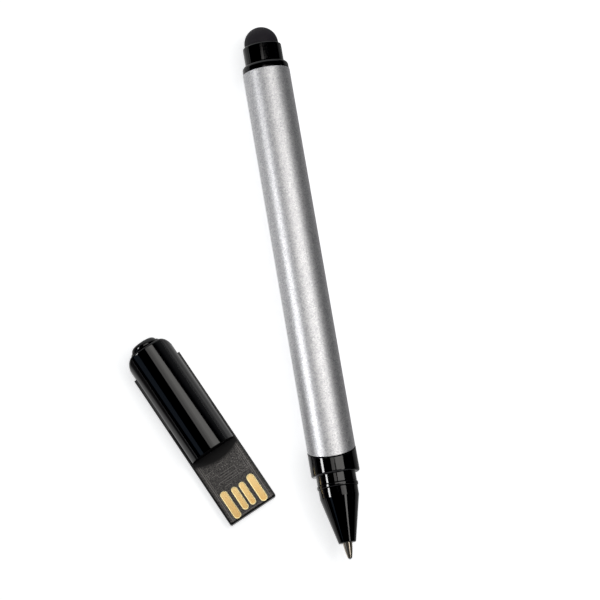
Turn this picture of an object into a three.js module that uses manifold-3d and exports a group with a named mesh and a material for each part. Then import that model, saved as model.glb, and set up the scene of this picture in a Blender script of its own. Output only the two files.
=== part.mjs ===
// Ball pen with a stylus end, and the flash drive module that belongs to it, lying side by side on a table.
// Millimetres, +Z up. The pen lies along Y with its writing tip towards -Y. Both pieces rest on Z = 0.
// Stations along the pen are measured from the writing ball's front, heights in the module from the table.

import * as THREE from 'three';
import { mergeVertices } from 'three/addons/utils/BufferGeometryUtils.js';
import Module from 'manifold-3d';

// Clearances
const seatGap = 0.05; // between faces that meet along the pen
const fitGap = 0.05; // round a piece that is pressed or glued in
const runningGap = 0.08; // round a piece that turns or slides
const moduleGap = 0.1; // between the moulded pieces of the module
const padGap = 0.02; // under a contact pad

// Barrel: an aluminium tube, cut on a slant where it meets the nose
const barrelDiameter = 10.7;
const barrelWall = 0.6;
const barrelLength = 87.4; // along its sides
const jointSlope = 0.43; // how far the slanted end runs on for each millimetre of height

// End rim and plug, which close the barrel and carry the stylus
const rimDiameter = 10.5;
const rimLength = 1.6;
const rimRound = 0.85;
const plugSpigotLength = 8;
const plugWall = 1.3;
const plugWeb = 3.6; // thickness under the stylus, rim included
const stopTubeWall = 0.7;
const stopTubeReach = 3.6; // how much of the refill the stop tube holds
const stopDepth = 11.85; // from the rim's end face down to the stop behind the refill

// Stylus
const collarDiameter = 8.8;
const collarLength = 4.2;
const collarRound = 0.45;
const collarFloor = 1.2;
const domeDiameter = 7.7;
const domeHeight = 4.4;
const domeWall = 1;
const studDiameter = 2.4;
const studHeadHeight = 2;
const studLength = 7.2; // below the head

// Nose: a fixed sleeve with a neck, then a ring and a cone that unscrew together
const sleeveDiameter = 10.8;
const sleeveLength = 5.7; // along its sides
const sleeveRound = 0.3;
const sleeveSpigotLength = 12;
const sleeveSpigotWall = 1.1;
const neckDiameter = 8.8;
const neckLength = 2.1;
const ringDiameter = 9.15;
const ringLength = 0.9;
const ringRound = 0.2;
const bandDiameter = 8.75;
const bandLength = 2.1;
const coneLength = 9.95;
const coneBaseDiameter = 8.65;
const coneMouthDiameter = 3.8;
const coneMouthRound = 0.2;
const threadDiameter = 6.6;
const threadLength = 5.6;
const coneStep = 5.1; // from the mouth to the step that holds the refill

// Refill
const tipReach = 3.85; // how far the point stands out of the cone
const nibDiameter = 2.14;
const nibLength = 9;
const nibLipDiameter = 0.92;
const nibLipStation = 0.28;
const nibShankDiameter = 1.6;
const nibShankLength = 3;
const nibFullness = 0.86; // of its curve between lip and straight part
const inkChannelDiameter = 0.5;
const ballDiameter = 0.8;
const ballGap = 0.03;
const holderLength = 5;
const holderSpigotLength = 3;
const refillDiameter = 3.2;
const refillWall = 0.5;
const inkLength = 66;
const refillPlugLength = 2.5;
const refillPlugHead = 0.55;
const ventDiameter = 0.6;

// Module: where it lies, and the tray that carries the memory chip
const moduleEndLeft = 19.1; // from the pen's axis to the middle of the contact end
const moduleEndForward = 14.4; // from the pen's tip, along the pen
const moduleTurn = 24.3; // degrees
const trayWidth = 12;
const trayLength = 38.9;
const trayHeight = 2.2;
const trayFloor = 0.6;
const trayCorner = 0.45;
const trayRib = 1;
const trayCoreFloor = 0.9;
const trayCoreWall = 1;
const chipWidth = 11.2;
const chipLength = 24.8;
const boardThickness = 0.4;
const boardCorner = 0.25;
const packageThickness = 0.95;

// Contacts, as on a standard four-contact plug
const padThickness = 0.08;
const outerPadLength = 7;
const outerPadWidth = 1.8;
const outerPadSpacing = 7;
const outerPadEdge = 0.42; // from the end of the tray
const innerPadLength = 5.85;
const innerPadWidth = 1.5;
const innerPadSpacing = 2;
const innerPadEdge = 1.1;

// Half-round body over the back of the tray, and the stepped stud on its end
const bodyStart = 16.1; // from the contact end
const bodyBlockLength = 4.3; // behind the tray
const bodyRadius = 5.5;
const bodyHeight = 8;
const bodyWall = 1;
const bodyEndWall = 1.3;
const bodyEndRound = 0.6; // over the top of the closed end
const bodyCorner = 2.2; // of the closed end, seen from above
const bodyBlockFloor = 1.5;
const studRingDiameter = 7.1;
const studRingLength = 0.3;
const endStudDiameter = 6.3;
const endStudLength = 1.1;
const endStudRound = 1.1;
const endStudShank = 4;
const endStudHeight = 4.2; // its axis above the table

// How finely round shapes are cut into facets
const turnedFacets = 48;
const endStudFacets = 36;
const fineFacets = 24;
const ballFacets = 12;
const roundSteps = 3;
const bodyRoundSteps = 4;
const domeSteps = 8;
const bodyFacets = 28;
const padFacets = 8;
const nibSteps = 6;
const mergeDistance = 1e-4; // between points that are one

// Stations along the pen
const coneMouth = tipReach;
const coneBase = coneMouth + coneLength;
const bandEnd = coneBase + bandLength;
const ringEnd = bandEnd + ringLength;
const neckEnd = ringEnd + neckLength;
const joint = neckEnd + sleeveLength;
const barrelEnd = joint + barrelLength;
const rimEnd = barrelEnd + rimLength;
const collarEnd = rimEnd + collarLength;
const domeTop = collarEnd + domeHeight;
const collarFloorTop = rimEnd + seatGap + collarFloor;
const holderStart = nibLength + seatGap;
const refillStart = holderStart + holderLength + seatGap;
const stopFace = rimEnd - stopDepth;
const refillBack = stopFace - seatGap;
const refillEnd = refillBack - refillPlugHead - seatGap;

const barrelBore = barrelDiameter / 2 - barrelWall;
const refillBore = refillDiameter / 2 - refillWall;
const trayTop = trayHeight + moduleGap; // where the body's underside lies
const bodyCentreHeight = bodyHeight - bodyRadius;
const bodyEnd = trayLength + bodyBlockLength;

const colours = {
  silver: { color: 0xc4c5c7, roughness: 0.42, metalness: 0.9 },
  glossBlack: { color: 0x0b0b0d, roughness: 0.12, metalness: 0 },
  trayBlack: { color: 0x151517, roughness: 0.3, metalness: 0 },
  rubber: { color: 0x3b393c, roughness: 0.8, metalness: 0 },
  nickel: { color: 0xb9b2a4, roughness: 0.2, metalness: 1 },
  carbide: { color: 0x8f9094, roughness: 0.1, metalness: 1 },
  refillPlastic: { color: 0xd9dde0, roughness: 0.35, metalness: 0 },
  ink: { color: 0x0c1024, roughness: 0.4, metalness: 0 },
  boardMask: { color: 0x3a393b, roughness: 0.45, metalness: 0 },
  resin: { color: 0x1b1b1d, roughness: 0.6, metalness: 0 },
  gold: { color: 0xe6c98a, roughness: 0.3, metalness: 1 },
};

const wasm = await Module();
wasm.setup();

const pen = new THREE.Group();
const flashDrive = new THREE.Group();

function addPiece(group, name, geometry, look) {
  const mesh = new THREE.Mesh(geometry, new THREE.MeshStandardMaterial(colours[look]));
  mesh.name = name;
  group.add(mesh);
  return mesh;
}

// A profile of [radius, station] pairs turned round the Y axis: up along the outside, down along the inside
function turned(profile, facets = turnedFacets) {
  const points = profile.map(([radius, station]) => new THREE.Vector2(radius, station));
  return new THREE.LatheGeometry(points, facets);
}

function turnedRing(profile, facets = turnedFacets) {
  return turned([...profile, profile[0]], facets);
}

// Points of an arc in a profile, from one angle to another, in degrees from straight out
function arc(centreRadius, centreStation, radius, fromDegrees, toDegrees, steps = roundSteps) {
  return Array.from({ length: steps + 1 }, (_, i) => {
    const angle = THREE.MathUtils.degToRad(fromDegrees + ((toDegrees - fromDegrees) * i) / steps);
    return [centreRadius + radius * Math.cos(angle), centreStation + radius * Math.sin(angle)];
  });
}

// Shifts the rings of a turned piece that lie at a station, so that they lie in the slanted joint
function slantAt(geometry, station) {
  const position = geometry.getAttribute('position');
  for (let i = 0; i < position.count; i++) {
    if (Math.abs(position.getY(i) - station) < seatGap / 2) {
      position.setY(i, position.getY(i) - position.getZ(i) * jointSlope);
    }
  }
  return geometry;
}

// A flat outline drawn across the module and up from the table, run along the module between two places
function runAlong(shape, from, to, options = {}) {
  const geometry = new THREE.ExtrudeGeometry(shape, { depth: to - from, bevelEnabled: false, ...options });
  return geometry.rotateX(Math.PI / 2).translate(0, to, 0);
}

// A flat outline drawn in plan, given a bottom and a top
function raised(shape, bottom, top) {
  const geometry = new THREE.ExtrudeGeometry(shape, {
    depth: top - bottom,
    bevelEnabled: false,
    curveSegments: padFacets,
  });
  return geometry.translate(0, 0, bottom);
}

function boxBetween([left, front, bottom], [right, back, top]) {
  const geometry = new THREE.BoxGeometry(right - left, back - front, top - bottom);
  return geometry.translate((left + right) / 2, (front + back) / 2, (bottom + top) / 2);
}

function toSolid(geometry) {
  const bare = geometry.clone();
  bare.deleteAttribute('normal');
  bare.deleteAttribute('uv');
  const merged = mergeVertices(bare, mergeDistance);
  const index = merged.getIndex();
  return new wasm.Manifold(new wasm.Mesh({
    numProp: 3,
    vertProperties: new Float32Array(merged.getAttribute('position').array),
    triVerts: new Uint32Array(index.array),
  }));
}

function fromSolid(solid) {
  const mesh = solid.getMesh();
  const result = new THREE.BufferGeometry();
  result.setAttribute('position', new THREE.BufferAttribute(new Float32Array(mesh.vertProperties), 3));
  result.setIndex(new THREE.BufferAttribute(new Uint32Array(mesh.triVerts), 1));
  result.computeVertexNormals();
  return result;
}

function cut(geometry, tools) {
  return fromSolid(tools.reduce((rest, tool) => rest.subtract(toSolid(tool)), toSolid(geometry)));
}

function common(geometry, other) {
  return fromSolid(toSolid(geometry).intersect(toSolid(other)));
}

function barrelTube() {
  const radius = barrelDiameter / 2;
  return slantAt(turnedRing([
    [radius, joint + seatGap],
    [radius, barrelEnd],
    [barrelBore, barrelEnd],
    [barrelBore, joint + seatGap],
  ]), joint + seatGap);
}

function endPlug() {
  const spigot = barrelBore - fitGap;
  const rim = rimDiameter / 2;
  const studHole = studDiameter / 2 + fitGap;
  const refillHole = refillDiameter / 2 + runningGap;
  const stopTube = refillHole + stopTubeWall;
  const webStart = rimEnd - plugWeb;
  const spigotStart = barrelEnd - plugSpigotLength;
  return turnedRing([
    [refillHole, stopFace - stopTubeReach],
    [stopTube, stopFace - stopTubeReach],
    [stopTube, webStart],
    [spigot - plugWall, webStart],
    [spigot - plugWall, spigotStart],
    [spigot, spigotStart],
    [spigot, barrelEnd + seatGap],
    [rim, barrelEnd + seatGap],
    ...arc(rim - rimRound, rimEnd - rimRound, rimRound, 0, 90),
    [studHole, rimEnd],
    [studHole, stopFace],
    [refillHole, stopFace],
  ]);
}

function stylusCollar() {
  const radius = collarDiameter / 2;
  const studHole = studDiameter / 2 + fitGap;
  const domeHole = domeDiameter / 2 + fitGap;
  return turnedRing([
    [studHole, rimEnd + seatGap],
    [radius, rimEnd + seatGap],
    ...arc(radius - collarRound, collarEnd - collarRound, collarRound, 0, 90),
    [domeHole, collarEnd],
    [domeHole, collarFloorTop],
    [studHole, collarFloorTop],
  ]);
}

function stylusDome() {
  const radius = domeDiameter / 2;
  const inside = radius - domeWall;
  const centre = domeTop - radius;
  const skirt = collarFloorTop + seatGap;
  return turned([
    ...arc(0, centre, inside, 90, 0, domeSteps),
    [inside, skirt],
    [radius, skirt],
    ...arc(0, centre, radius, 0, 90, domeSteps),
  ]);
}

function stylusStud() {
  const head = domeDiameter / 2 - domeWall - fitGap;
  const shank = studDiameter / 2;
  const headStart = collarFloorTop + seatGap;
  return turned([
    [0, headStart - studLength],
    [shank, headStart - studLength],
    [shank, headStart],
    [head, headStart],
    [head, headStart + studHeadHeight],
    [0, headStart + studHeadHeight],
  ], fineFacets);
}

function noseSleeve() {
  const radius = sleeveDiameter / 2;
  const spigot = barrelBore - fitGap;
  const threadHole = threadDiameter / 2 + runningGap;
  const neckStart = ringEnd + seatGap;
  const threadEnd = bandEnd + threadLength + seatGap;
  return slantAt(turnedRing([
    [threadHole, neckStart],
    [neckDiameter / 2, neckStart],
    [neckDiameter / 2, neckEnd],
    ...arc(radius - sleeveRound, neckEnd + sleeveRound, sleeveRound, -90, 0),
    [radius, joint],
    [spigot, joint],
    [spigot, joint + sleeveSpigotLength],
    [spigot - sleeveSpigotWall, joint + sleeveSpigotLength],
    [spigot - sleeveSpigotWall, threadEnd + sleeveSpigotWall],
    [threadHole, threadEnd],
  ]), joint);
}

function noseRing() {
  const radius = ringDiameter / 2;
  const start = bandEnd + seatGap;
  const hole = threadDiameter / 2 + fitGap;
  return turnedRing([
    [hole, start],
    ...arc(radius - ringRound, start + ringRound, ringRound, -90, 0),
    ...arc(radius - ringRound, ringEnd - ringRound, ringRound, 0, 90),
    [hole, ringEnd],
  ]);
}

function noseCone() {
  const mouthHole = nibDiameter / 2 + runningGap;
  const refillHole = refillDiameter / 2 + runningGap;
  const mouth = coneMouthDiameter / 2;
  const step = coneMouth + coneStep;
  return turnedRing([
    [mouthHole, coneMouth],
    ...arc(mouth - coneMouthRound, coneMouth + coneMouthRound, coneMouthRound, -90, 0),
    [coneBaseDiameter / 2, coneBase],
    [bandDiameter / 2, bandEnd],
    [threadDiameter / 2, bandEnd],
    [threadDiameter / 2, bandEnd + threadLength],
    [refillHole, bandEnd + threadLength],
    [refillHole, step],
    [mouthHole, step],
  ]);
}

function refillNib() {
  const ball = ballDiameter / 2;
  const socket = ball + ballGap;
  const channel = inkChannelDiameter / 2;
  const lip = THREE.MathUtils.radToDeg(Math.asin((nibLipStation - ball) / socket));
  const seat = THREE.MathUtils.radToDeg(Math.acos(channel / socket));
  const radius = nibDiameter / 2;
  const ogive = new THREE.QuadraticBezierCurve(
    new THREE.Vector2(nibLipDiameter / 2, nibLipStation),
    new THREE.Vector2(radius * nibFullness, tipReach / 2),
    new THREE.Vector2(radius, tipReach),
  );
  return turnedRing([
    ...ogive.getPoints(nibSteps).map((point) => [point.x, point.y]),
    [radius, nibLength],
    [nibShankDiameter / 2, nibLength],
    [nibShankDiameter / 2, nibLength + nibShankLength],
    [channel, nibLength + nibShankLength],
    ...arc(0, ball, socket, seat, lip),
  ], fineFacets);
}

function writingBall() {
  const radius = ballDiameter / 2;
  return new THREE.SphereGeometry(radius, ballFacets, ballFacets / 2).translate(0, radius, 0);
}

function refillHolder() {
  const shankHole = nibShankDiameter / 2 + fitGap;
  const channel = inkChannelDiameter / 2;
  const spigot = refillBore - fitGap;
  const body = holderStart + holderLength;
  const shankEnd = nibLength + nibShankLength + seatGap;
  return turnedRing([
    [shankHole, holderStart],
    [refillDiameter / 2, holderStart],
    [refillDiameter / 2, body],
    [spigot, body],
    [spigot, body + holderSpigotLength],
    [channel, body + holderSpigotLength],
    [channel, shankEnd],
    [shankHole, shankEnd],
  ], fineFacets);
}

function refillTube() {
  return turnedRing([
    [refillBore, refillStart],
    [refillDiameter / 2, refillStart],
    [refillDiameter / 2, refillEnd],
    [refillBore, refillEnd],
  ], fineFacets);
}

function refillInk() {
  const start = holderStart + holderLength + holderSpigotLength + seatGap;
  const end = start + inkLength;
  const radius = refillBore - fitGap;
  return turned([[0, start], [radius, start], [radius, end], [0, end]], fineFacets);
}

function refillPlug() {
  const vent = ventDiameter / 2;
  const spigot = refillBore - fitGap;
  const headStart = refillEnd + seatGap;
  return turnedRing([
    [vent, refillEnd - refillPlugLength],
    [spigot, refillEnd - refillPlugLength],
    [spigot, headStart],
    [refillDiameter / 2, headStart],
    [refillDiameter / 2, refillBack],
    [vent, refillBack],
  ], fineFacets);
}

// A rectangle in plan between two places along the module, with its front corners rounded
function planOutline(halfWidth, front, back, corner) {
  const shape = new THREE.Shape();
  shape.moveTo(halfWidth, back);
  shape.lineTo(-halfWidth, back);
  shape.lineTo(-halfWidth, front + corner);
  shape.absarc(-halfWidth + corner, front + corner, corner, Math.PI, Math.PI * 1.5, false);
  shape.absarc(halfWidth - corner, front + corner, corner, -Math.PI / 2, 0, false);
  shape.closePath();
  return shape;
}

function moduleTray() {
  const half = trayWidth / 2;
  const pocketHalf = chipWidth / 2 + moduleGap / 2;
  const frontWall = half - pocketHalf;
  const pocketEnd = frontWall + chipLength + moduleGap;
  const above = trayHeight + moduleGap;
  return cut(raised(planOutline(half, 0, trayLength, trayCorner), 0, trayHeight), [
    boxBetween([-pocketHalf, frontWall, trayFloor], [pocketHalf, pocketEnd, above]),
    boxBetween(
      [-half + trayCoreWall, pocketEnd + trayRib, trayCoreFloor],
      [half - trayCoreWall, trayLength - trayCoreWall, above],
    ),
  ]);
}

// The chip lies in the tray's pocket: its moulded package below, its board above
const chipFront = trayWidth / 2 - chipWidth / 2;
const packageBottom = trayFloor + moduleGap / 2;
const boardBottom = packageBottom + packageThickness + moduleGap / 2;
const boardTop = boardBottom + boardThickness;

function chipLayer(bottom, top) {
  return raised(planOutline(chipWidth / 2, chipFront, chipFront + chipLength, boardCorner), bottom, top);
}

function contactPad(acrossModule, edge, length, width) {
  const radius = width / 2;
  const shape = new THREE.Shape();
  shape.absarc(acrossModule, edge + length - radius, radius, 0, Math.PI, false);
  shape.absarc(acrossModule, edge + radius, radius, Math.PI, Math.PI * 2, false);
  shape.closePath();
  return raised(shape, boardTop + padGap, boardTop + padGap + padThickness);
}

// The body's section: a half circle on straight sides that come down to a given height
function halfRound(radius, bottom) {
  const shape = new THREE.Shape();
  shape.moveTo(-radius, bottom);
  shape.lineTo(radius, bottom);
  shape.absarc(0, bodyCentreHeight, radius, 0, Math.PI, false);
  shape.closePath();
  return shape;
}

function moduleBody() {
  const blank = runAlong(halfRound(bodyRadius, 0), bodyStart - bodyEndRound, bodyEnd - bodyEndRound, {
    bevelEnabled: true,
    bevelSize: bodyEndRound,
    bevelOffset: -bodyEndRound,
    bevelThickness: bodyEndRound,
    bevelSegments: bodyRoundSteps,
    curveSegments: bodyFacets,
  });
  const wide = trayWidth;
  const plan = planOutline(bodyRadius, -bodyEnd, -bodyStart, bodyCorner);
  const rounded = common(blank, raised(plan, -wide, bodyHeight + wide).rotateZ(Math.PI));
  const holeRadius = endStudShank / 2 + fitGap;
  const holeLength = 2 * (bodyEndWall + moduleGap);
  const studHole = new THREE.CylinderGeometry(holeRadius, holeRadius, holeLength, fineFacets);
  const cavity = halfRound(bodyRadius - bodyWall, bodyBlockFloor);
  return cut(rounded, [
    boxBetween([-wide, bodyStart - wide, -wide], [wide, trayLength + moduleGap, trayTop]),
    runAlong(cavity, bodyStart + bodyWall, bodyEnd - bodyEndWall, { curveSegments: bodyFacets }),
    studHole.translate(0, bodyEnd, endStudHeight),
  ]);
}

function endStud() {
  const ringStart = bodyEnd + moduleGap;
  const headStart = ringStart + studRingLength;
  const headEnd = headStart + endStudLength;
  const radius = endStudDiameter / 2;
  return turned([
    [0, bodyEnd - bodyEndWall],
    [endStudShank / 2, bodyEnd - bodyEndWall],
    [endStudShank / 2, ringStart],
    [studRingDiameter / 2, ringStart],
    [studRingDiameter / 2, headStart],
    [radius, headStart],
    ...arc(radius - endStudRound, headEnd - endStudRound, endStudRound, 0, 90),
    [0, headEnd],
  ], endStudFacets).translate(0, 0, endStudHeight);
}

addPiece(pen, 'barrel_tube', barrelTube(), 'silver');
addPiece(pen, 'end_plug', endPlug(), 'glossBlack');
addPiece(pen, 'stylus_collar', stylusCollar(), 'glossBlack');
addPiece(pen, 'stylus_dome', stylusDome(), 'rubber');
addPiece(pen, 'stylus_stud', stylusStud(), 'nickel');
addPiece(pen, 'nose_sleeve', noseSleeve(), 'glossBlack');
addPiece(pen, 'nose_ring', noseRing(), 'glossBlack');
addPiece(pen, 'nose_cone', noseCone(), 'glossBlack');
addPiece(pen, 'refill_nib', refillNib(), 'nickel');
addPiece(pen, 'writing_ball', writingBall(), 'carbide');
addPiece(pen, 'refill_holder', refillHolder(), 'refillPlastic');
addPiece(pen, 'refill_tube', refillTube(), 'refillPlastic');
addPiece(pen, 'refill_ink', refillInk(), 'ink');
addPiece(pen, 'refill_plug', refillPlug(), 'refillPlastic');

addPiece(flashDrive, 'module_tray', moduleTray(), 'trayBlack');
addPiece(flashDrive, 'module_body', moduleBody(), 'glossBlack');
addPiece(flashDrive, 'end_stud', endStud(), 'glossBlack');
addPiece(flashDrive, 'memory_package', chipLayer(packageBottom, packageBottom + packageThickness), 'resin');
addPiece(flashDrive, 'memory_board', chipLayer(boardBottom, boardTop), 'boardMask');
const outerPads = [
  ['contact_power', -outerPadSpacing / 2],
  ['contact_ground', outerPadSpacing / 2],
];
outerPads.forEach(([name, across]) => {
  addPiece(flashDrive, name, contactPad(across, outerPadEdge, outerPadLength, outerPadWidth), 'gold');
});
const innerPads = [
  ['contact_data_minus', -innerPadSpacing / 2],
  ['contact_data_plus', innerPadSpacing / 2],
];
innerPads.forEach(([name, across]) => {
  addPiece(flashDrive, name, contactPad(across, innerPadEdge, innerPadLength, innerPadWidth), 'gold');
});

// The pen rests on its sleeve, and the module lies turned at the pen's left
pen.position.z = Math.max(sleeveDiameter, barrelDiameter) / 2;
flashDrive.rotation.z = THREE.MathUtils.degToRad(moduleTurn);
flashDrive.position.set(-moduleEndLeft, moduleEndForward, 0);

const assembly = new THREE.Group();
assembly.add(pen, flashDrive);

// The origin is at the middle of the whole set's footprint, on the table
assembly.updateMatrixWorld(true);
const footprint = new THREE.Box3().setFromObject(assembly, true).getCenter(new THREE.Vector3());
assembly.position.set(-footprint.x, -footprint.y, 0);

export default assembly;
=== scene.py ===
import math

import bmesh
import bpy
from mathutils import Matrix, Vector


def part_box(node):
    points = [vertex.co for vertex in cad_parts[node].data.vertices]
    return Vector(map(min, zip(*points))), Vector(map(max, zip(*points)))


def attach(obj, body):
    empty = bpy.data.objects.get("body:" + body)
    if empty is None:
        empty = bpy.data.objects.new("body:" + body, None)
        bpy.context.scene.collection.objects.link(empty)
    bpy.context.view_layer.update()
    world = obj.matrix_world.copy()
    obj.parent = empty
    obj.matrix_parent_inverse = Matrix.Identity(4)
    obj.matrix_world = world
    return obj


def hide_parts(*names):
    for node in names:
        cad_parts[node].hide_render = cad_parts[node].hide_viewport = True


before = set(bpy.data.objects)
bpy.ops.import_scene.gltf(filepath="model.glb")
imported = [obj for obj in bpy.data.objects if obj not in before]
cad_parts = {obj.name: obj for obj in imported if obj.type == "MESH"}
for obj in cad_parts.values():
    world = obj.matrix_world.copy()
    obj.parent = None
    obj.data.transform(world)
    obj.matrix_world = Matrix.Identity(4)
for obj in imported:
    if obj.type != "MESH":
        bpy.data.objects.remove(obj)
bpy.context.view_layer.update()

# Ball pen with a rubber stylus end, and its flash drive module on the table beside it.
# Sizes in the dictionaries are millimetres. Stations along the pen count from the writing tip,
# and the module is drawn flat on its own axes first, then turned and moved to its place.

mm = 0.001
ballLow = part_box("writing_ball")[0]
tubeLow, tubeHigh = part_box("refill_tube")
tip = Vector(((tubeLow[0] + tubeHigh[0]) / 2, ballLow[1], (tubeLow[2] + tubeHigh[2]) / 2)) / mm

place = {
    "moduleLeft": 19.1,  # from the pen's axis to the middle of the contact end
    "moduleForward": 14.4,  # from the tip
    "moduleTurn": 24.3,
}
moduleEnd = Vector((tip.x - place["moduleLeft"], tip.y + place["moduleForward"], 0))
turnedSteps = 160
touch = 0.005  # how near a corner has to be to count as lying on a line or face
reach = 1  # how far a cutting block reaches past the piece it cuts
keepChamfers = 60  # degrees; flatter edges aren't rounded, so a chamfer and the face beside it stay true


def clearSelection():
    if bpy.context.object and bpy.context.object.mode != "OBJECT":
        bpy.ops.object.mode_set(mode="OBJECT")
    bpy.ops.object.select_all(action="DESELECT")


def nameIt(name):
    piece = bpy.context.object
    piece.name = piece.data.name = name
    bpy.ops.object.transform_apply(location=True, rotation=True, scale=True)
    return piece


def selectWhere(test, mode="EDGE", sharper=None):
    # picks the parts of the edited mesh whose corners all pass the test, in millimetres,
    # and of its edges only those sharper than so many degrees
    bpy.ops.mesh.select_mode(type=mode)
    bpy.ops.mesh.select_all(action="DESELECT")
    mesh = bpy.context.object.data
    bm = bmesh.from_edit_mesh(mesh)
    for item in {"EDGE": bm.edges, "FACE": bm.faces, "VERT": bm.verts}[mode]:
        corners = [item] if mode == "VERT" else item.verts
        if sharper and math.degrees(item.calc_face_angle(0)) < sharper:
            continue
        if all(test(corner.co / mm) for corner in corners):
            item.select_set(True)
    bm.select_flush_mode()
    bmesh.update_edit_mesh(mesh)


def selectUprights(y):
    # picks the upright edges of the edited mesh at a place along the module
    bpy.ops.mesh.select_mode(type="EDGE")
    bpy.ops.mesh.select_all(action="DESELECT")
    mesh = bpy.context.object.data
    bm = bmesh.from_edit_mesh(mesh)
    for edge in bm.edges:
        a, b = (corner.co / mm for corner in edge.verts)
        if max(abs(a.y - y), abs(b.y - y), abs(a.x - b.x)) < touch:
            edge.select_set(True)
    bmesh.update_edit_mesh(mesh)


def turnPiece(name, origin, profile, steps=turnedSteps):
    # draws a profile of (radius, station) pairs and spins it round the axis that runs along Y
    clearSelection()
    centre = Vector(origin) * mm
    radius, station = profile[0]
    start = centre + Vector((radius, station, 0)) * mm
    bpy.ops.mesh.primitive_plane_add(size=mm, location=start)
    piece = nameIt(name)
    bpy.ops.object.mode_set(mode="EDIT")
    bpy.ops.mesh.select_mode(type="VERT")
    bpy.ops.mesh.select_all(action="SELECT")
    bpy.ops.mesh.merge(type="CENTER")
    for (r0, s0), (r1, s1) in zip(profile, profile[1:]):
        step = ((r1 - r0) * mm, (s1 - s0) * mm, 0)
        bpy.ops.mesh.extrude_region_move(TRANSFORM_OT_translate={"value": step})
    bpy.ops.mesh.select_all(action="SELECT")
    bpy.ops.mesh.spin(steps=steps, angle=2 * math.pi, center=centre, axis=(0, 1, 0))
    bpy.ops.mesh.select_all(action="SELECT")
    bpy.ops.mesh.remove_doubles(threshold=0.0002 * mm)
    bpy.ops.mesh.normals_make_consistent(inside=False)
    return piece


def arc(radius, station, size, fromAngle, toAngle, steps=6):
    # points of a round in a profile; 0 degrees points straight out, 90 towards the stylus
    points = []
    for i in range(steps + 1):
        angle = math.radians(fromAngle + (toAngle - fromAngle) * i / steps)
        points.append((radius + size * math.cos(angle), station + size * math.sin(angle)))
    return points


def useModifier(piece, kind, settings):
    clearSelection()
    bpy.context.view_layer.objects.active = piece
    piece.select_set(True)
    modifier = piece.modifiers.new(kind.title(), kind)
    for key, value in settings.items():
        setattr(modifier, key, value)
    bpy.ops.object.modifier_apply(modifier=modifier.name)


def softenEdges(piece, width, segments=2, angle=35):
    useModifier(piece, "BEVEL", {
        "width": width * mm, "segments": segments, "limit_method": "ANGLE",
        "angle_limit": math.radians(angle), "use_clamp_overlap": True,
    })


def cutAway(piece, tool, operation="DIFFERENCE"):
    useModifier(piece, "BOOLEAN", {"operation": operation, "object": tool, "solver": "EXACT"})
    bpy.data.objects.remove(tool)


def addBlock(name, low, high):
    clearSelection()
    low, high = Vector(low), Vector(high)
    bpy.ops.mesh.primitive_cube_add(size=1, location=(low + high) / 2 * mm, scale=(high - low) * mm)
    return nameIt(name)


def finishPiece(piece, body, nodes, material, smooth=14):
    # shades smooth only up to a low angle, so that small roundings don't tip the normals of long faces
    clearSelection()
    bpy.context.view_layer.objects.active = piece
    piece.select_set(True)
    bpy.ops.object.shade_smooth_by_angle(angle=math.radians(smooth))
    useModifier(piece, "WEIGHTED_NORMAL", {
        "keep_sharp": True, "weight": 100, "thresh": 0.05 * mm ** 2})  # wide faces keep true reflections
    piece.data.materials.clear()
    piece.data.materials.append(material)
    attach(piece, body)
    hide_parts(*nodes)


def layOnTable(piece):
    # from the module's own axes to where it lies
    clearSelection()
    bpy.context.view_layer.objects.active = piece
    piece.select_set(True)
    piece.rotation_euler = (0, 0, math.radians(place["moduleTurn"]))
    piece.location = moduleEnd * mm
    bpy.ops.object.transform_apply(location=True, rotation=True, scale=True)


def hexColour(code):
    parts = [int(code[i:i + 2], 16) / 255 for i in (1, 3, 5)]
    linear = [c / 12.92 if c <= 0.04045 else ((c + 0.055) / 1.055) ** 2.4 for c in parts]
    return (*linear, 1)


def perSize(size):
    # texture scale for a feature of this many millimetres, on Object coordinates in metres
    return 1 / (size * mm)


def addNode(tree, kind, settings=None, sockets=None):
    # adds a node; a socket given as another node's output is linked, anything else is set
    node = tree.nodes.new(kind)
    for key, value in (settings or {}).items():
        setattr(node, key, value)
    for key, value in (sockets or {}).items():
        if isinstance(value, bpy.types.NodeSocket):
            tree.links.new(value, node.inputs[key])
        else:
            node.inputs[key].default_value = value
    return node


def startMaterial(name, turn=0, centre=(0, 0, 0)):
    # gives the node tree and Object coordinates, moved and turned onto a piece's own axes
    material = bpy.data.materials.new(name)
    material.use_nodes = True
    tree = material.node_tree
    tree.nodes.clear()
    coords = addNode(tree, "ShaderNodeTexCoord")
    moved = addNode(tree, "ShaderNodeMapping", {"vector_type": "TEXTURE"}, {
        "Vector": coords.outputs["Object"],
        "Location": Vector(centre) * mm,
        "Rotation": (0, 0, math.radians(turn)),
    })
    return material, tree, moved.outputs["Vector"]


def closeMaterial(tree, shader):
    addNode(tree, "ShaderNodeOutputMaterial", None, {"Surface": shader})


penCentre = (tip.x, tip.y, tip.z)
moduleCentre = tuple(moduleEnd)


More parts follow.
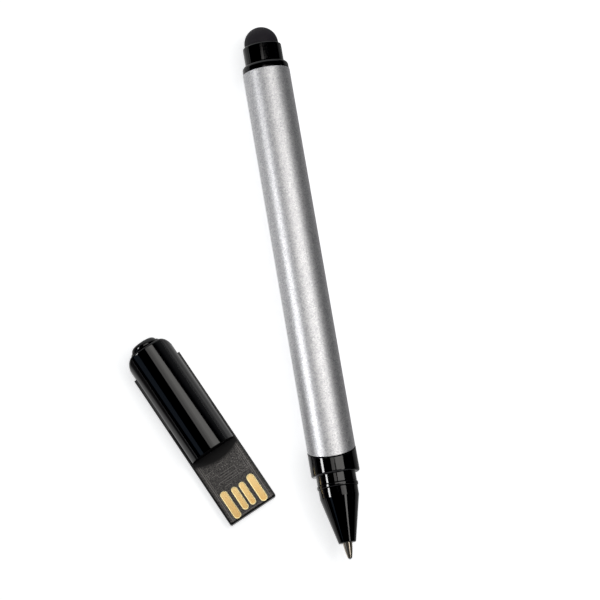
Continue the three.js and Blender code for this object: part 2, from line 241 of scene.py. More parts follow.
def blastedAluminium():
    # aluminium tube, bead blasted and clear anodised: soft satin silver that sparkles in fine grains
    material, tree, place3d = startMaterial("blastedAnodisedAluminium", 0, penCentre)
    grain = addNode(tree, "ShaderNodeTexNoise", None, {
        "Vector": place3d, "Scale": perSize(0.19), "Detail": 2.0, "Roughness": 0.75})
    grains = addNode(tree, "ShaderNodeTexVoronoi", {"feature": "F1"}, {
        "Vector": place3d, "Scale": perSize(0.21)})  # drawn about twice as coarse as the real blast, to show
    cloud = addNode(tree, "ShaderNodeTexNoise", None, {
        "Vector": place3d, "Scale": perSize(0.8), "Detail": 2.0})
    shade = addNode(tree, "ShaderNodeSeparateColor", None, {"Color": grains.outputs["Color"]})
    speckle = addNode(tree, "ShaderNodeMath", {"operation": "MULTIPLY_ADD"}, {
        0: shade.outputs["Red"], 1: 0.55, 2: grain.outputs["Fac"]})
    mottled = addNode(tree, "ShaderNodeMath", {"operation": "MULTIPLY_ADD"}, {
        0: cloud.outputs["Fac"], 1: 0.06, 2: speckle.outputs["Value"]})
    level = addNode(tree, "ShaderNodeMapRange", {"clamp": True}, {
        "Value": mottled.outputs["Value"], "From Min": 0.35, "From Max": 1.25})
    tint = addNode(tree, "ShaderNodeMix", {"data_type": "RGBA"}, {
        "Factor": level.outputs["Result"], 6: hexColour("#bcbcc1"), 7: hexColour("#ffffff")})
    rough = addNode(tree, "ShaderNodeMapRange", None, {
        "Value": shade.outputs["Green"], "To Min": 0.42, "To Max": 0.52})
    bump = addNode(tree, "ShaderNodeBump", None, {
        "Height": speckle.outputs["Value"], "Strength": 0.6, "Distance": 0.012 * mm})
    shader = addNode(tree, "ShaderNodeBsdfPrincipled", None, {
        "Base Color": tint.outputs[2], "Roughness": rough.outputs["Result"],
        "Metallic": 1.0, "Normal": bump.outputs["Normal"]})
    closeMaterial(tree, shader.outputs["BSDF"])
    return material


def polishedAbs(name, centre, turn=0, base="#060607", roughness=0.06):
    # ABS from a polished mould: deep black gloss with a faint wave and a few hair scratches
    material, tree, place3d = startMaterial(name, turn, centre)
    wave = addNode(tree, "ShaderNodeTexNoise", None, {
        "Vector": place3d, "Scale": perSize(2.2), "Detail": 1.0})
    haze = addNode(tree, "ShaderNodeTexNoise", None, {
        "Vector": place3d, "Scale": perSize(0.5), "Detail": 4.0})
    stretched = addNode(tree, "ShaderNodeMapping", None, {
        "Vector": place3d, "Scale": (1, 0.06, 1), "Rotation": (0, 0, 0.2)})
    hair = addNode(tree, "ShaderNodeTexNoise", None, {
        "Vector": stretched.outputs["Vector"], "Scale": perSize(0.12), "Detail": 0.0})
    lines = addNode(tree, "ShaderNodeMapRange", {"clamp": True}, {
        "Value": hair.outputs["Fac"], "From Min": 0.7, "From Max": 0.78, "To Min": 0.0, "To Max": 0.05})
    variation = addNode(tree, "ShaderNodeMapRange", None, {
        "Value": haze.outputs["Fac"], "From Min": 0.3, "From Max": 0.7,
        "To Min": roughness - 0.02, "To Max": roughness + 0.03})
    rough = addNode(tree, "ShaderNodeMath", {"operation": "ADD"}, {
        0: variation.outputs["Result"], 1: lines.outputs["Result"]})
    bump = addNode(tree, "ShaderNodeBump", None, {
        "Height": wave.outputs["Fac"], "Strength": 0.25, "Distance": 0.006 * mm})
    shader = addNode(tree, "ShaderNodeBsdfPrincipled", None, {
        "Base Color": hexColour(base), "Roughness": rough.outputs["Value"],
        "IOR": 1.53, "Normal": bump.outputs["Normal"]})
    closeMaterial(tree, shader.outputs["BSDF"])
    return material


def dullRubber():
    # conductive silicone rubber, moulded: dull dark grey with a dusty bloom
    material, tree, place3d = startMaterial("mouldedConductiveRubber", 0, penCentre)
    dust = addNode(tree, "ShaderNodeTexNoise", None, {
        "Vector": place3d, "Scale": perSize(0.35), "Detail": 5.0, "Roughness": 0.65})
    tint = addNode(tree, "ShaderNodeMix", {"data_type": "RGBA"}, {
        "Factor": dust.outputs["Fac"], 6: hexColour("#1b171d"), 7: hexColour("#252129")})
    rough = addNode(tree, "ShaderNodeMapRange", None, {
        "Value": dust.outputs["Fac"], "From Min": 0.3, "From Max": 0.7, "To Min": 0.62, "To Max": 0.74})
    bump = addNode(tree, "ShaderNodeBump", None, {
        "Height": dust.outputs["Fac"], "Strength": 0.3, "Distance": 0.02 * mm})
    shader = addNode(tree, "ShaderNodeBsdfPrincipled", None, {
        "Base Color": tint.outputs[2], "Roughness": rough.outputs["Result"],
        "IOR": 1.42, "Normal": bump.outputs["Normal"]})
    closeMaterial(tree, shader.outputs["BSDF"])
    return material


def turnedNickelSilver(name="turnedNickelSilver", light="#d4cabb", dark="#998f82", ring=0.09, roughness=0.13):
    # nickel silver turned on a lathe: warm pale metal with fine rings round it
    material, tree, place3d = startMaterial(name, 0, penCentre)
    squeezed = addNode(tree, "ShaderNodeMapping", None, {
        "Vector": place3d, "Scale": (0.02, 1, 0.02)})
    rings = addNode(tree, "ShaderNodeTexNoise", None, {
        "Vector": squeezed.outputs["Vector"], "Scale": perSize(ring), "Detail": 2.0})
    tint = addNode(tree, "ShaderNodeMix", {"data_type": "RGBA"}, {
        "Factor": rings.outputs["Fac"], 6: hexColour(dark), 7: hexColour(light)})
    rough = addNode(tree, "ShaderNodeMapRange", None, {
        "Value": rings.outputs["Fac"], "From Min": 0.3, "From Max": 0.7,
        "To Min": roughness - 0.05, "To Max": roughness + 0.08})
    bump = addNode(tree, "ShaderNodeBump", None, {
        "Height": rings.outputs["Fac"], "Strength": 0.2, "Distance": 0.01 * mm})
    shader = addNode(tree, "ShaderNodeBsdfPrincipled", None, {
        "Base Color": tint.outputs[2], "Roughness": rough.outputs["Result"],
        "Metallic": 1.0, "Normal": bump.outputs["Normal"]})
    closeMaterial(tree, shader.outputs["BSDF"])
    return material


def plainMoulding(name, light, dark, roughness, grainSize=0.4, ior=1.49):
    # inner mouldings, extruded or cast: soft uneven skin with a dull sheen
    material, tree, place3d = startMaterial(name, 0, penCentre)
    skin = addNode(tree, "ShaderNodeTexNoise", None, {
        "Vector": place3d, "Scale": perSize(grainSize), "Detail": 3.0})
    tint = addNode(tree, "ShaderNodeMix", {"data_type": "RGBA"}, {
        "Factor": skin.outputs["Fac"], 6: hexColour(dark), 7: hexColour(light)})
    rough = addNode(tree, "ShaderNodeMapRange", None, {
        "Value": skin.outputs["Fac"], "To Min": roughness - 0.06, "To Max": roughness + 0.06})
    bump = addNode(tree, "ShaderNodeBump", None, {
        "Height": skin.outputs["Fac"], "Strength": 0.2, "Distance": 0.01 * mm})
    shader = addNode(tree, "ShaderNodeBsdfPrincipled", None, {
        "Base Color": tint.outputs[2], "Roughness": rough.outputs["Result"],
        "IOR": ior, "Normal": bump.outputs["Normal"]})
    closeMaterial(tree, shader.outputs["BSDF"])
    return material


def solderMask():
    # satin solder mask over etched copper: near black, with fine raised traces and vias that catch the light,
    # and a painted shadow of the cover: a darker, rougher arch in front of it, where the traces are left out
    material, tree, place3d = startMaterial("printedSolderMask", place["moduleTurn"], moduleCentre)
    split = addNode(tree, "ShaderNodeSeparateXYZ", None, {"Vector": place3d})
    across, along = split.outputs["X"], split.outputs["Y"]
    side = addNode(tree, "ShaderNodeMath", {"operation": "ABSOLUTE"}, {0: across})
    vias = addNode(tree, "ShaderNodeTexVoronoi", {"feature": "F1"}, {
        "Vector": place3d, "Scale": perSize(0.62), "Randomness": 0.55})
    dots = addNode(tree, "ShaderNodeMapRange", {"clamp": True}, {
        "Value": vias.outputs["Distance"], "From Min": 0.2, "From Max": 0.3, "To Min": 1.0, "To Max": 0.0})
    loop = addNode(tree, "ShaderNodeMapping", {"vector_type": "TEXTURE"}, {
        "Vector": place3d, "Location": (-4.1 * mm, 9.0 * mm, 0)})
    rings = addNode(tree, "ShaderNodeTexWave", {"wave_type": "RINGS", "rings_direction": "Z"}, {
        "Vector": loop.outputs["Vector"], "Scale": perSize(2.4), "Distortion": 0.6, "Detail": 1.0})
    away = addNode(tree, "ShaderNodeVectorMath", {"operation": "LENGTH"}, {0: loop.outputs["Vector"]})
    near = addNode(tree, "ShaderNodeMapRange", {"clamp": True}, {
        "Value": away.outputs["Value"], "From Min": 1.2 * mm, "From Max": 1.35 * mm,
        "To Min": 1.0, "To Max": 0.0})
    dotZone = addNode(tree, "ShaderNodeMapRange", {"clamp": True}, {
        "Value": across, "From Min": 2.2 * mm, "From Max": 2.3 * mm})
    dotRow = addNode(tree, "ShaderNodeMath", {"operation": "COMPARE"}, {0: along, 1: 12.0 * mm, 2: 0.34 * mm})
    dotPlace = addNode(tree, "ShaderNodeMath", {"operation": "MAXIMUM"}, {
        0: dotZone.outputs["Result"], 1: dotRow.outputs["Value"]})
    dotPatch = addNode(tree, "ShaderNodeMath", {"operation": "COMPARE"}, {
        0: along, 1: 11.0 * mm, 2: 2.3 * mm})
    dotPlace = addNode(tree, "ShaderNodeMath", {"operation": "MULTIPLY"}, {
        0: dotPlace.outputs["Value"], 1: dotPatch.outputs["Value"]})
    drawn = addNode(tree, "ShaderNodeMath", {"operation": "MULTIPLY"}, {
        0: dots.outputs["Result"], 1: dotPlace.outputs["Value"]})
    traces = [  # middle and half length across the board, middle and half length along it
        (0.4, 2.0, 8.7, 0.06), (-0.6, 2.4, 9.25, 0.06), (0.3, 1.6, 9.8, 0.06), (-0.9, 1.3, 10.35, 0.06),
        (0.2, 1.9, 10.9, 0.06), (-3.1, 0.8, 11.2, 0.06), (-3.6, 1.0, 12.4, 0.06), (1.9, 0.06, 9.3, 0.55),
        (-3.0, 0.06, 9.0, 0.3), (2.1, 0.06, 10.4, 0.5), (-2.3, 0.06, 10.8, 0.4), (-4.2, 0.06, 11.8, 0.6),
        (3.3, 1.1, 8.5, 0.05), (-1.4, 0.9, 7.9, 0.05), (4.2, 0.05, 10.6, 1.9), (-0.2, 0.7, 13.0, 0.05),
    ]
    for x, halfX, y, halfY in traces:
        inX = addNode(tree, "ShaderNodeMath", {"operation": "COMPARE"}, {0: across, 1: x * mm, 2: halfX * mm})
        inY = addNode(tree, "ShaderNodeMath", {"operation": "COMPARE"}, {0: along, 1: y * mm, 2: halfY * mm})
        inside = addNode(tree, "ShaderNodeMath", {"operation": "MULTIPLY"}, {
            0: inX.outputs["Value"], 1: inY.outputs["Value"]})
        drawn = addNode(tree, "ShaderNodeMath", {"operation": "MAXIMUM"}, {
            0: drawn.outputs["Value"], 1: inside.outputs["Value"]})
    drawn = addNode(tree, "ShaderNodeMix", None, {
        "Factor": near.outputs["Result"], 2: drawn.outputs["Value"], 3: rings.outputs["Fac"]}).outputs[0]
    for value, at, width in ((side.outputs["Value"], 5.0, 0.16), (side.outputs["Value"], 4.62, 0.1),
                             (along, 0.72, 0.14)):
        line = addNode(tree, "ShaderNodeMath", {"operation": "COMPARE"}, {
            0: value, 1: at * mm, 2: width / 2 * mm})
        drawn = addNode(tree, "ShaderNodeMath", {"operation": "MAXIMUM"}, {
            0: drawn, 1: line.outputs["Value"]}).outputs["Value"]
    fine = addNode(tree, "ShaderNodeTexNoise", None, {
        "Vector": place3d, "Scale": perSize(0.3), "Detail": 3.0})
    bowed = addNode(tree, "ShaderNodeMath", {"operation": "MULTIPLY"}, {0: across, 1: across})
    arch = addNode(tree, "ShaderNodeMath", {"operation": "MULTIPLY_ADD"}, {
        0: bowed.outputs["Value"], 1: -45, 2: along})
    # painted shadow: the arch in front of the cover is made darker and rougher, and its traces are taken out
    paintedShadowArch = addNode(tree, "ShaderNodeMapRange", {"clamp": True}, {
        "Value": arch.outputs["Value"], "From Min": 13.1 * mm, "From Max": 13.9 * mm})
    tracesOutsideShadow = addNode(tree, "ShaderNodeMath", {"operation": "SUBTRACT", "use_clamp": True}, {
        0: drawn, 1: paintedShadowArch.outputs["Result"]})
    pitted = addNode(tree, "ShaderNodeMapRange", {"clamp": True}, {
        "Value": fine.outputs["Fac"], "From Min": 0.36, "From Max": 0.64})
    skin = addNode(tree, "ShaderNodeMix", {"data_type": "RGBA"}, {
        "Factor": pitted.outputs["Result"], 6: hexColour("#161517"), 7: hexColour("#66625f")})
    # the near black colour of the painted shadow arch
    ground = addNode(tree, "ShaderNodeMix", {"data_type": "RGBA"}, {
        "Factor": paintedShadowArch.outputs["Result"], 6: skin.outputs[2], 7: hexColour("#131213")})
    tint = addNode(tree, "ShaderNodeMix", {"data_type": "RGBA"}, {
        "Factor": tracesOutsideShadow.outputs["Value"], 6: ground.outputs[2], 7: hexColour("#85817e")})
    rough = addNode(tree, "ShaderNodeMapRange", None, {
        "Value": paintedShadowArch.outputs["Result"], "To Min": 0.34, "To Max": 0.7})
    relief = addNode(tree, "ShaderNodeMath", {"operation": "MULTIPLY_ADD"}, {
        0: pitted.outputs["Result"], 1: 0.3, 2: tracesOutsideShadow.outputs["Value"]})
    bump = addNode(tree, "ShaderNodeBump", None, {
        "Height": relief.outputs["Value"], "Strength": 0.5, "Distance": 0.03 * mm})
    shader = addNode(tree, "ShaderNodeBsdfPrincipled", None, {
        "Base Color": tint.outputs[2], "Roughness": rough.outputs["Result"],
        "IOR": 1.5, "Normal": bump.outputs["Normal"]})
    closeMaterial(tree, shader.outputs["BSDF"])
    return material


def goldPlating():
    # thin gold over nickel, rolled: warm satin gold, mottled and paler towards the back of each pad, with a
    # painted highlight on each raised rim
    material, tree, place3d = startMaterial("platedGold", place["moduleTurn"], moduleCentre)
    split = addNode(tree, "ShaderNodeSeparateXYZ", None, {"Vector": place3d})
    drawn = addNode(tree, "ShaderNodeMapping", None, {
        "Vector": place3d, "Scale": (1, 0.3, 1)})
    lines = addNode(tree, "ShaderNodeTexNoise", None, {
        "Vector": drawn.outputs["Vector"], "Scale": perSize(0.45), "Detail": 3.0, "Roughness": 0.6})
    back = addNode(tree, "ShaderNodeMapRange", {"clamp": True}, {
        "Value": split.outputs["Y"], "From Min": 1 * mm, "From Max": 7.4 * mm,
        "To Min": -0.15, "To Max": 0.3})
    # the rolling lines plus a fade that makes each pad paler towards its back
    variation = addNode(tree, "ShaderNodeMath", {"operation": "ADD"}, {
        0: lines.outputs["Fac"], 1: back.outputs["Result"]})
    level = addNode(tree, "ShaderNodeMapRange", {"clamp": True}, {
        "Value": variation.outputs["Value"], "From Min": -0.1, "From Max": 1.1})
    tint = addNode(tree, "ShaderNodeMix", {"data_type": "RGBA"}, {
        "Factor": level.outputs["Result"], 6: hexColour("#efbb6c"), 7: hexColour("#ffe2a4")})
    # painted highlight: the raised rim of each pad is drawn in a pale gold
    rim = addNode(tree, "ShaderNodeMapRange", {"clamp": True}, {
        "Value": split.outputs["Z"], "From Min": 2.139 * mm, "From Max": 2.149 * mm})
    platedWithRimHighlight = addNode(tree, "ShaderNodeMix", {"data_type": "RGBA"}, {
        "Factor": rim.outputs["Result"], 6: tint.outputs[2], 7: hexColour("#fff0b8")})
    rough = addNode(tree, "ShaderNodeMapRange", None, {
        "Value": lines.outputs["Fac"], "To Min": 0.2, "To Max": 0.36})
    bump = addNode(tree, "ShaderNodeBump", None, {
        "Height": lines.outputs["Fac"], "Strength": 0.2, "Distance": 0.002 * mm})
    shader = addNode(tree, "ShaderNodeBsdfPrincipled", None, {
        "Base Color": platedWithRimHighlight.outputs[2], "Roughness": rough.outputs["Result"],
        "Metallic": 1.0, "Normal": bump.outputs["Normal"]})
    closeMaterial(tree, shader.outputs["BSDF"])
    return material


silver = blastedAluminium()
penBlack = polishedAbs("polishedAbsPen", penCentre)
moduleBlack = polishedAbs("polishedAbsModule", moduleCentre, place["moduleTurn"])
# the tray's mould is a little less polished, which blurs what it reflects
trayBlack = polishedAbs("mouldedAbsTray", moduleCentre, place["moduleTurn"], "#0a0a0b", 0.12)
rubber = dullRubber()
nickel = turnedNickelSilver()
# ground carbide: cooler and darker than the point round it
carbide = turnedNickelSilver("groundCarbide", "#a8a9ad", "#8d8e92", 0.05, 0.12)
mask = solderMask()
gold = goldPlating()

innerLooks = {
    # turned steel: bright grey with fine lathe rings
    "stylus_stud": turnedNickelSilver("turnedBrightSteel", "#c4c5c8", "#9b9ca0", 0.12, 0.26),
    # moulded polypropylene: milky white, softly uneven
    "refill_holder": plainMoulding("mouldedPolypropylene", "#e4e7e8", "#d3d7d9", 0.38),
    # extruded polypropylene: cool white, smoother and a little glossier
    "refill_tube": plainMoulding("extrudedPolypropylene", "#dfe4e7", "#c9d0d4", 0.3, 1.5),
    # ink paste: wet blue black
    "refill_ink": plainMoulding("inkPaste", "#0d1228", "#080b1c", 0.3, 0.8, 1.4),
    # moulded vent plug: duller, greyer white
    "refill_plug": plainMoulding("mouldedPlugPolymer", "#d8dcde", "#c5cacd", 0.42),
    # transfer moulded epoxy: matt near black with a fine sandy grain
    "memory_package": plainMoulding("mouldedEpoxy", "#222224", "#18181a", 0.55, 0.1, 1.55),
}
for node, look in innerLooks.items():
    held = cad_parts[node]
    held.data.materials.clear()
    held.data.materials.append(look)
print("materials ready")


barrel = {
    "radius": 5.35, "bore": 4.75, "joint": 24.65, "end": 111.6,
    "slope": 0.43,  # run along the pen for each millimetre of height
    "edge": 0.15,
}
slant = math.atan(barrel["slope"])


def slantRing(radii, station):
    # tips the rings of a turned piece over, so that they lie in the slanted joint
    selectWhere(lambda p: abs(p.y - tip.y - station) < touch
                and any(abs(math.hypot(p.x - tip.x, p.z - tip.z) - r) < touch for r in radii))
    pivot = (tip + Vector((0, station, 0))) * mm
    bpy.ops.transform.rotate(value=-slant, orient_axis="X", center_override=pivot)
    stretch = 1 / math.cos(slant)
    bpy.ops.transform.resize(value=(1, stretch, stretch), center_override=pivot)


tube = turnPiece("barrelTube", penCentre, [
    (barrel["radius"], barrel["joint"]), (barrel["radius"], barrel["end"]),
    (barrel["bore"], barrel["end"]), (barrel["bore"], barrel["joint"]),
    (barrel["radius"], barrel["joint"]),
])
slantRing((barrel["radius"], barrel["bore"]), barrel["joint"])
softenEdges(tube, barrel["edge"], 3)
finishPiece(tube, "pen", ["barrel_tube"], silver)
print("barrel done")


rim = {
    "radius": 5.25, "end": 113.4, "round": 0.85, "spigot": 4.7, "spigotStart": 104.0,
    "inside": 3.4, "web": 110.0, "stopTube": 2.38, "stopTubeStart": 98.15,
    "refillHole": 1.68, "stop": 101.75, "studHole": 1.25,
    "start": barrel["end"] + 0.05,  # a hair behind the tube
    "edge": 0.05,
}
plug = turnPiece("endPlug", penCentre, [
    (rim["refillHole"], rim["stopTubeStart"]), (rim["stopTube"], rim["stopTubeStart"]),
    (rim["stopTube"], rim["web"]), (rim["inside"], rim["web"]), (rim["inside"], rim["spigotStart"]),
    (rim["spigot"], rim["spigotStart"]), (rim["spigot"], rim["start"]), (rim["radius"], rim["start"]),
    *arc(rim["radius"] - rim["round"], rim["end"] - rim["round"], rim["round"], 0, 90, 10),
    (rim["studHole"], rim["end"]), (rim["studHole"], rim["stop"]), (rim["refillHole"], rim["stop"]),
    (rim["refillHole"], rim["stopTubeStart"]),
])
softenEdges(plug, rim["edge"])
finishPiece(plug, "pen", ["end_plug"], penBlack)


collar = {
    "radius": 4.4, "start": 113.45, "end": 117.8, "round": 0.45, "hole": 3.9, "floor": 114.85,
    "studHole": 1.25, "chamfer": 0.12, "lip": 0.03, "edge": 0.05,
}
cup = turnPiece("stylusCollar", penCentre, [
    (collar["studHole"], collar["start"]), (collar["radius"] - collar["chamfer"], collar["start"]),
    (collar["radius"], collar["start"] + collar["chamfer"]),
    *arc(collar["radius"] - collar["round"], collar["end"] - collar["round"], collar["round"], 0, 80, 8),
    (collar["hole"], collar["end"] - collar["lip"]), (collar["hole"], collar["floor"]),
    (collar["studHole"], collar["floor"]), (collar["studHole"], collar["start"]),
])
softenEdges(cup, collar["edge"], 2, keepChamfers)
finishPiece(cup, "pen", ["stylus_collar"], penBlack)

dome = {"radius": 3.85, "wall": 1.0, "top": 122.2, "skirt": 114.9, "edge": 0.08}
domeCentre = dome["top"] - dome["radius"]
cap = turnPiece("stylusDome", penCentre, [
    *arc(0, domeCentre, dome["radius"] - dome["wall"], 90, 0, 24),
    (dome["radius"] - dome["wall"], dome["skirt"]), (dome["radius"], dome["skirt"]),
    *arc(0, domeCentre, dome["radius"], 0, 90, 32),
])
softenEdges(cap, dome["edge"])
finishPiece(cap, "pen", ["stylus_dome"], rubber)
print("stylus end done")


sleeve = {
    "radius": 5.4, "joint": 24.47, "neckEnd": 18.9, "round": 0.4, "neck": 4.4, "neckStart": 16.85,
    "spigot": 4.7, "spigotEnd": 36.6, "spigotWall": 1.1, "threadHole": 3.38, "threadEnd": 21.55,
    "chamfer": 0.08, "edge": 0.05,
}
inner = sleeve["spigot"] - sleeve["spigotWall"]
shell = turnPiece("noseSleeve", penCentre, [
    (sleeve["threadHole"], sleeve["neckStart"]),
    (sleeve["neck"] - sleeve["chamfer"], sleeve["neckStart"]),
    (sleeve["neck"], sleeve["neckStart"] + sleeve["chamfer"]), (sleeve["neck"], sleeve["neckEnd"]),
    *arc(sleeve["radius"] - sleeve["round"], sleeve["neckEnd"] + sleeve["round"], sleeve["round"], -90, 0, 8),
    (sleeve["radius"], sleeve["joint"]), (sleeve["spigot"], sleeve["joint"]),
    (sleeve["spigot"], sleeve["spigotEnd"]), (inner, sleeve["spigotEnd"]),
    (inner, sleeve["threadEnd"] + sleeve["spigotWall"]), (sleeve["threadHole"], sleeve["threadEnd"]),
    (sleeve["threadHole"], sleeve["neckStart"]),
])
slantRing((sleeve["radius"], sleeve["spigot"]), sleeve["joint"])
softenEdges(shell, sleeve["edge"], 2, keepChamfers)
finishPiece(shell, "pen", ["nose_sleeve"], penBlack)

ring = {"radius": 4.575, "start": 15.95, "end": 16.8, "round": 0.2, "hole": 3.35}
band = turnPiece("noseRing", penCentre, [
    (ring["hole"], ring["start"]),
    *arc(ring["radius"] - ring["round"], ring["start"] + ring["round"], ring["round"], -90, 0, 10),
    *arc(ring["radius"] - ring["round"], ring["end"] - ring["round"], ring["round"], 0, 90, 10),
    (ring["hole"], ring["end"]), (ring["hole"], ring["start"]),
])
finishPiece(band, "nose", ["nose_ring"], penBlack)

cone = {
    "mouth": 3.65, "mouthRadius": 1.96, "mouthRound": 0.2, "mouthHole": 1.15,
    "base": 13.8, "baseRadius": 4.325, "bandEnd": 15.9, "bandRadius": 4.375,
    "thread": 3.3, "threadEnd": 21.5, "refillHole": 1.68, "step": 8.95, "chamfer": 0.08, "smooth": 9,
    "pitch": 1.0, "threadDepth": 0.28, "threadStart": 0.4, "flank": 0.3, "crest": 0.2,
}
root = cone["thread"] - cone["threadDepth"]
threadRun = []
turns = int((cone["threadEnd"] - cone["bandEnd"]) / cone["pitch"])
for i in range(turns):
    foot = cone["bandEnd"] + cone["threadStart"] + i * cone["pitch"]
    crest = foot + cone["flank"]
    threadRun += [(root, foot), (cone["thread"], crest), (cone["thread"], crest + cone["crest"]),
                  (root, crest + cone["crest"] + cone["flank"])]
coneProfile = [
    (cone["mouthHole"], cone["mouth"]),
    *arc(cone["mouthRadius"] - cone["mouthRound"], cone["mouth"] + cone["mouthRound"], cone["mouthRound"],
         -90, 0, 12),
    (cone["baseRadius"], cone["base"]), (cone["bandRadius"], cone["bandEnd"] - cone["chamfer"]),
    (cone["bandRadius"] - cone["chamfer"], cone["bandEnd"]), (root, cone["bandEnd"]),
    *threadRun, (root, cone["threadEnd"]),
    (cone["refillHole"], cone["threadEnd"]), (cone["refillHole"], cone["step"]),
    (cone["mouthHole"], cone["step"]), (cone["mouthHole"], cone["mouth"]),
]
taper = turnPiece("noseCone", penCentre, coneProfile)
finishPiece(taper, "nose", ["nose_cone"], penBlack, cone["smooth"])
print("nose done")


nib = {
    "radius": 1.07, "reach": 3.85, "length": 9.0, "lip": 0.46, "lipStation": 0.28, "shank": 0.8,
    "shankEnd": 12.0, "channel": 0.25, "fullness": 0.86, "socket": 0.43, "ball": 0.4,
}
ogiveSteps = 14
ogive = []
for i in range(ogiveSteps + 1):
    t = i / ogiveSteps
    ogive.append((
        (1 - t) ** 2 * nib["lip"] + 2 * t * (1 - t) * nib["radius"] * nib["fullness"] + t * t * nib["radius"],
        (1 - t) ** 2 * nib["lipStation"] + 2 * t * (1 - t) * nib["reach"] / 2 + t * t * nib["reach"],
    ))
lipAngle = math.degrees(math.asin((nib["lipStation"] - nib["ball"]) / nib["socket"]))
seatAngle = math.degrees(math.acos(nib["channel"] / nib["socket"]))
point = turnPiece("refillNib", penCentre, [
    *ogive, (nib["radius"], nib["length"]), (nib["shank"], nib["length"]), (nib["shank"], nib["shankEnd"]),
    (nib["channel"], nib["shankEnd"]), *arc(0, nib["ball"], nib["socket"], seatAngle, lipAngle, 8), ogive[0],
], 96)
finishPiece(point, "refill", ["refill_nib"], nickel)

bead = turnPiece("writingBall", penCentre, arc(0, nib["ball"], nib["ball"], -90, 90, 24), 48)
finishPiece(bead, "ball", ["writing_ball"], carbide)
print("writing point done")


tray = {
    "half": 6.0, "length": 38.9, "height": 2.2, "floor": 0.6, "corner": 0.45, "crown": 0.3,
    "pocketHalf": 5.65, "pocketStart": 0.35, "pocketEnd": 25.25, "rib": 1.0, "coreFloor": 0.9, "wall": 1.0,
    "edge": 0.05, "smooth": 30,
}
carrier = addBlock("moduleTray", (-tray["half"], 0, 0), (tray["half"], tray["length"], tray["height"]))
bpy.ops.object.mode_set(mode="EDIT")
selectUprights(0)
bpy.ops.mesh.bevel(offset=tray["corner"] * mm, segments=8, affect="EDGES")
selectWhere(lambda p: p.z > tray["height"] - touch, "FACE")
bpy.ops.mesh.bevel(offset=tray["crown"] * mm, segments=6, affect="EDGES")  # round top edge, for the pale line
bpy.ops.object.mode_set(mode="OBJECT")
pocket = addBlock("pocketTool", (-tray["pocketHalf"], tray["pocketStart"], tray["floor"]),
                  (tray["pocketHalf"], tray["pocketEnd"], tray["height"] + reach))
cutAway(carrier, pocket)
coreHalf = tray["half"] - tray["wall"]
core = addBlock("coreTool", (-coreHalf, tray["pocketEnd"] + tray["rib"], tray["coreFloor"]),
                (coreHalf, tray["length"] - tray["wall"], tray["height"] + reach))
cutAway(carrier, core)
softenEdges(carrier, tray["edge"], 2, 50)
layOnTable(carrier)
finishPiece(carrier, "flash_drive", ["module_tray"], trayBlack, tray["smooth"])


body = {
    "radius": 5.5, "centre": 2.5, "start": 16.1, "end": 43.2, "round": 0.55, "corner": 2.32,
    "wall": 1.0, "endWall": 1.3, "edge": 0.12,
    "underside": 2.3, "blockStart": 39.0, "blockFloor": 1.5, "studHole": 2.05, "studHeight": 4.2,
}


def halfRound(name, radius, bottom, start, end, steps=128):
    # a round bar cut flat at its middle, with its flat side drawn down to a height
    clearSelection()
    bpy.ops.mesh.primitive_cylinder_add(
        vertices=steps, radius=radius * mm, depth=(end - start) * mm, rotation=(math.radians(90), 0, 0),
        location=(0, (start + end) / 2 * mm, body["centre"] * mm))
    bar = nameIt(name)
    bpy.ops.object.mode_set(mode="EDIT")
    bpy.ops.mesh.select_all(action="SELECT")
    bpy.ops.mesh.bisect(
        plane_co=(0, 0, body["centre"] * mm), plane_no=(0, 0, 1), clear_inner=True, use_fill=True)
    selectWhere(lambda p: abs(p.z - body["centre"]) < touch, "FACE")
    bpy.ops.mesh.extrude_region_move(
        TRANSFORM_OT_translate={"value": (0, 0, (bottom - body["centre"]) * mm)})
    bpy.ops.mesh.select_all(action="SELECT")
    bpy.ops.mesh.remove_doubles(threshold=0.001 * mm)
    bpy.ops.mesh.normals_make_consistent(inside=False)
    return bar


cover = halfRound("moduleBody", body["radius"], 0, body["start"], body["end"])
# a block that rounds the closed end as seen from above; it stands a hair outside the cover's own faces
planHalf, planEnd = body["radius"] + 0.002, body["end"] + 0.002
planTool = addBlock("planTool", (-planHalf, body["start"] - reach, -reach),
                    (planHalf, planEnd, body["centre"] + body["radius"] + reach))
bpy.ops.object.mode_set(mode="EDIT")
selectUprights(planEnd)
bpy.ops.mesh.bevel(offset=body["corner"] * mm, segments=24, affect="EDGES")
bpy.ops.object.mode_set(mode="OBJECT")
cutAway(cover, planTool, "INTERSECT")
trayReach = 3 * reach
cutAway(cover, addBlock("trayTool", (-tray["half"] - trayReach, body["start"] - trayReach, -trayReach),
                        (tray["half"] + trayReach, body["blockStart"], body["underside"])))
clearSelection()
bpy.ops.mesh.primitive_cylinder_add(
    vertices=48, radius=body["studHole"] * mm, depth=4 * mm, rotation=(math.radians(90), 0, 0),
    location=(0, body["end"] * mm, body["studHeight"] * mm))
cutAway(cover, nameIt("holeTool"))
hollow = halfRound("hollowTool", body["radius"] - body["wall"], body["blockFloor"],
                   body["start"] + body["wall"], body["end"] - body["endWall"], 64)
bpy.ops.object.mode_set(mode="OBJECT")
cutAway(cover, hollow)
clearSelection()
bpy.context.view_layer.objects.active = cover
bpy.ops.object.mode_set(mode="EDIT")
selectWhere(lambda p: p.y > body["end"] - body["corner"] and p.z > body["centre"] - touch
            and math.hypot(p.x, p.z - body["centre"]) > body["radius"] - 0.1, "EDGE", 14)
bpy.ops.mesh.bevel(offset=body["round"] * mm, segments=10, affect="EDGES")
bpy.ops.object.mode_set(mode="OBJECT")
softenEdges(cover, body["edge"], 3)
layOnTable(cover)
finishPiece(cover, "flash_drive", ["module_body"], moduleBlack)

